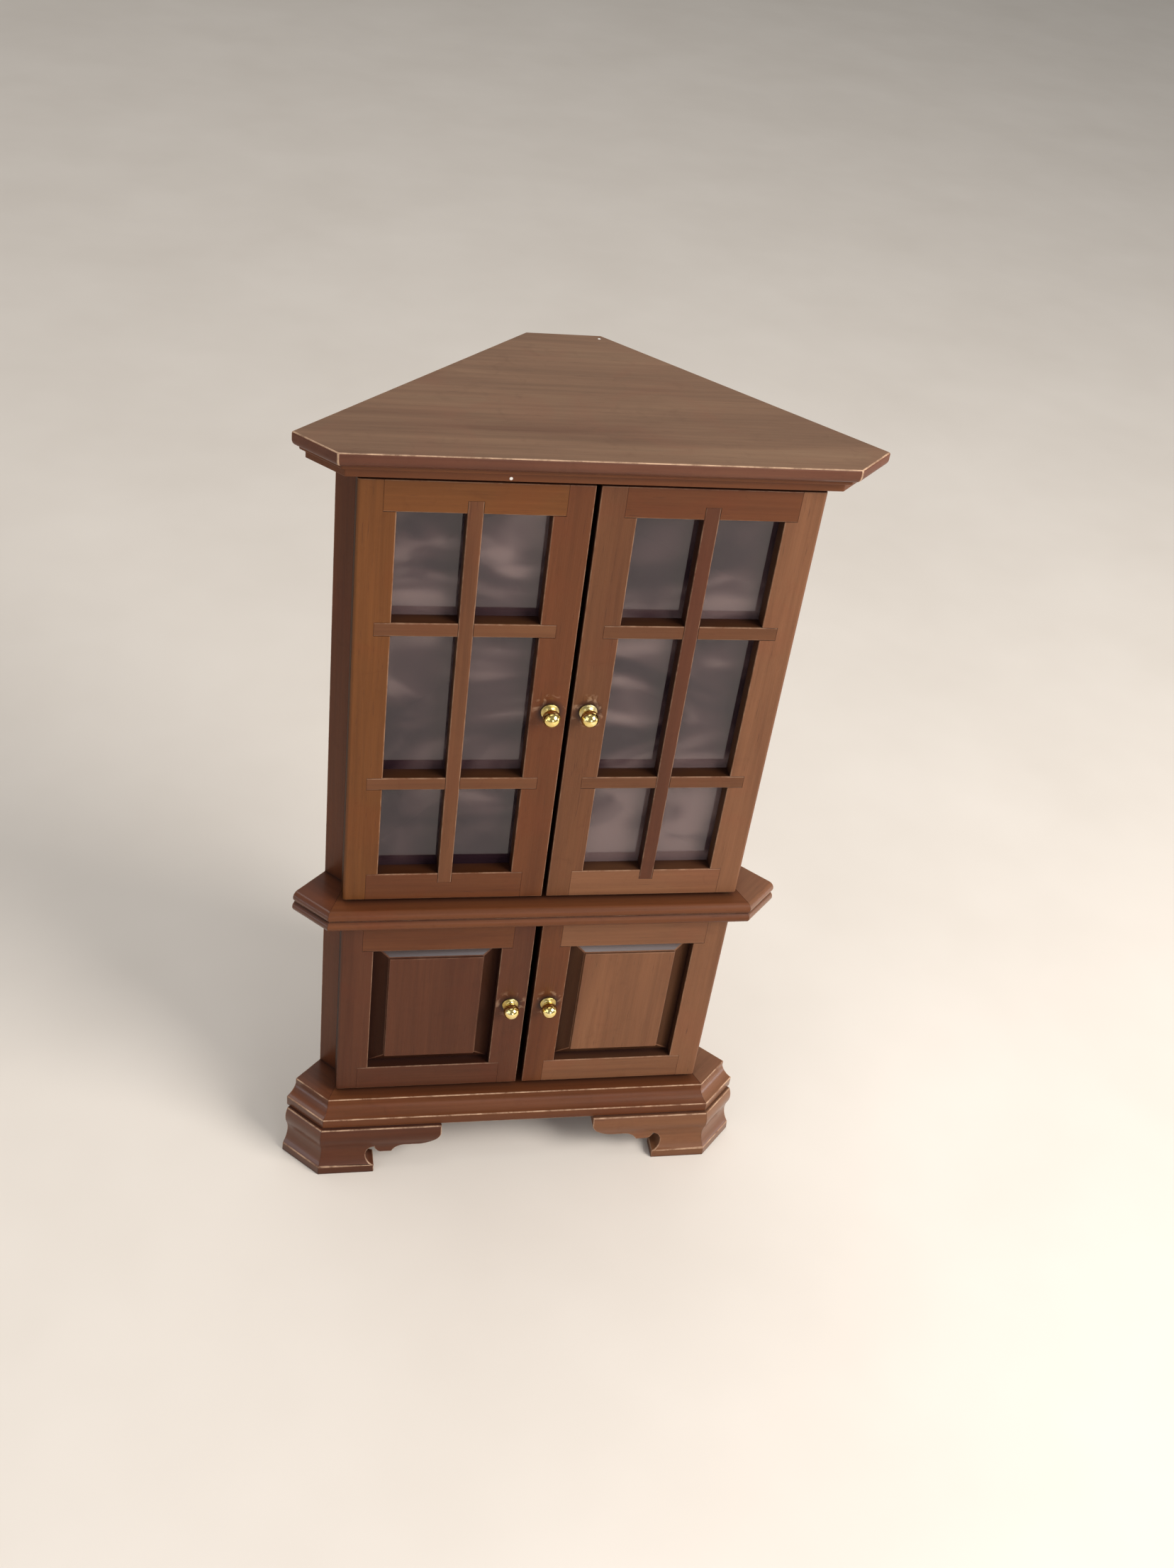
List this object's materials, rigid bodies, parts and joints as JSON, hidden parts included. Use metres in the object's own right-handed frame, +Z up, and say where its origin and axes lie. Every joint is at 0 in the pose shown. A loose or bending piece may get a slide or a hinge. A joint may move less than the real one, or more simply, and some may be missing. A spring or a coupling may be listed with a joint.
{
  "type": "miniature corner cabinet",
  "caption": "Dolls' house corner china cabinet: glazed barred doors over raised-panel doors, canted sides, stepped cornice, moulded waist and base, ogee bracket feet.",
  "frame": {"origin": "centre of the bounding box in plan, at the floor under the feet", "axes": "+Z up, the doors face -Y, +X to the right of a person who faces the doors"},
  "size_m": [0.1052, 0.0544, 0.178],
  "materials": {
    "mahogany_top": "satin lacquer, greyish brown",
    "mahogany_case": "satin lacquer",
    "mahogany_light": "satin lacquer, golden brown",
    "mahogany_door": "satin lacquer, red brown",
    "mahogany_dark": "satin lacquer, dark red brown",
    "brass": "polished",
    "clear_pane": "clear"
  },
  "bodies": {
    "carcass": {"top_board": "mahogany_top", "cornice_board": "mahogany_case", "upper_side_left": "mahogany_case", "upper_side_right": "mahogany_case", "upper_back_left": "mahogany_case", "upper_back_right": "mahogany_case", "upper_back_strip": "mahogany_case", "shelf_upper": "mahogany_case", "shelf_lower": "mahogany_case", "waist_board": "mahogany_case", "waist_moulding_front": "mahogany_light", "waist_moulding_left": "mahogany_case", "waist_moulding_right": "mahogany_case", "lower_side_left": "mahogany_case", "lower_side_right": "mahogany_case", "lower_back_left": "mahogany_case", "lower_back_right": "mahogany_case", "lower_back_strip": "mahogany_case", "base_board": "mahogany_case", "base_moulding_front": "mahogany_light", "base_moulding_left": "mahogany_case", "base_moulding_right": "mahogany_case", "foot_front_left": "mahogany_light", "foot_front_right": "mahogany_light", "foot_side_left": "mahogany_case", "foot_side_right": "mahogany_case", "foot_rear": "mahogany_case"},
    "upper_door_left": {"upper_left_inner_stile": "mahogany_door", "upper_left_outer_stile": "mahogany_door", "upper_left_bottom_rail": "mahogany_light", "upper_left_top_rail": "mahogany_door", "upper_left_knob": "brass", "upper_left_hinge_pins": "brass", "upper_left_upright_bar": "mahogany_door", "upper_left_cross_bars": "mahogany_light", "upper_left_glass": "clear_pane"},
    "lower_door_left": {"lower_left_inner_stile": "mahogany_door", "lower_left_outer_stile": "mahogany_door", "lower_left_bottom_rail": "mahogany_light", "lower_left_top_rail": "mahogany_door", "lower_left_knob": "brass", "lower_left_hinge_pins": "brass", "lower_left_panel": "mahogany_door"},
    "upper_door_right": {"upper_right_inner_stile": "mahogany_dark", "upper_right_outer_stile": "mahogany_door", "upper_right_bottom_rail": "mahogany_light", "upper_right_top_rail": "mahogany_door", "upper_right_knob": "brass", "upper_right_hinge_pins": "brass", "upper_right_upright_bar": "mahogany_dark", "upper_right_cross_bars": "mahogany_light", "upper_right_glass": "clear_pane"},
    "lower_door_right": {"lower_right_inner_stile": "mahogany_dark", "lower_right_outer_stile": "mahogany_door", "lower_right_bottom_rail": "mahogany_light", "lower_right_top_rail": "mahogany_door", "lower_right_knob": "brass", "lower_right_hinge_pins": "brass", "lower_right_panel": "mahogany_door"}
  },
  "joints": [
    {"name": "upper_door_left_hinge", "type": "hinge", "parent": "carcass", "child": "upper_door_left", "pos_m": [-0.0394, -0.018, 0.124], "axis": [0, 0, -1], "range_deg": [0, 110]},
    {"name": "lower_door_left_hinge", "type": "hinge", "parent": "carcass", "child": "lower_door_left", "pos_m": [-0.0394, -0.018, 0.045], "axis": [0, 0, -1], "range_deg": [0, 110]},
    {"name": "upper_door_right_hinge", "type": "hinge", "parent": "carcass", "child": "upper_door_right", "pos_m": [0.0394, -0.018, 0.124], "axis": [0, 0, 1], "range_deg": [0, 110]},
    {"name": "lower_door_right_hinge", "type": "hinge", "parent": "carcass", "child": "lower_door_right", "pos_m": [0.0394, -0.018, 0.045], "axis": [0, 0, 1], "range_deg": [0, 110]}
  ]
}
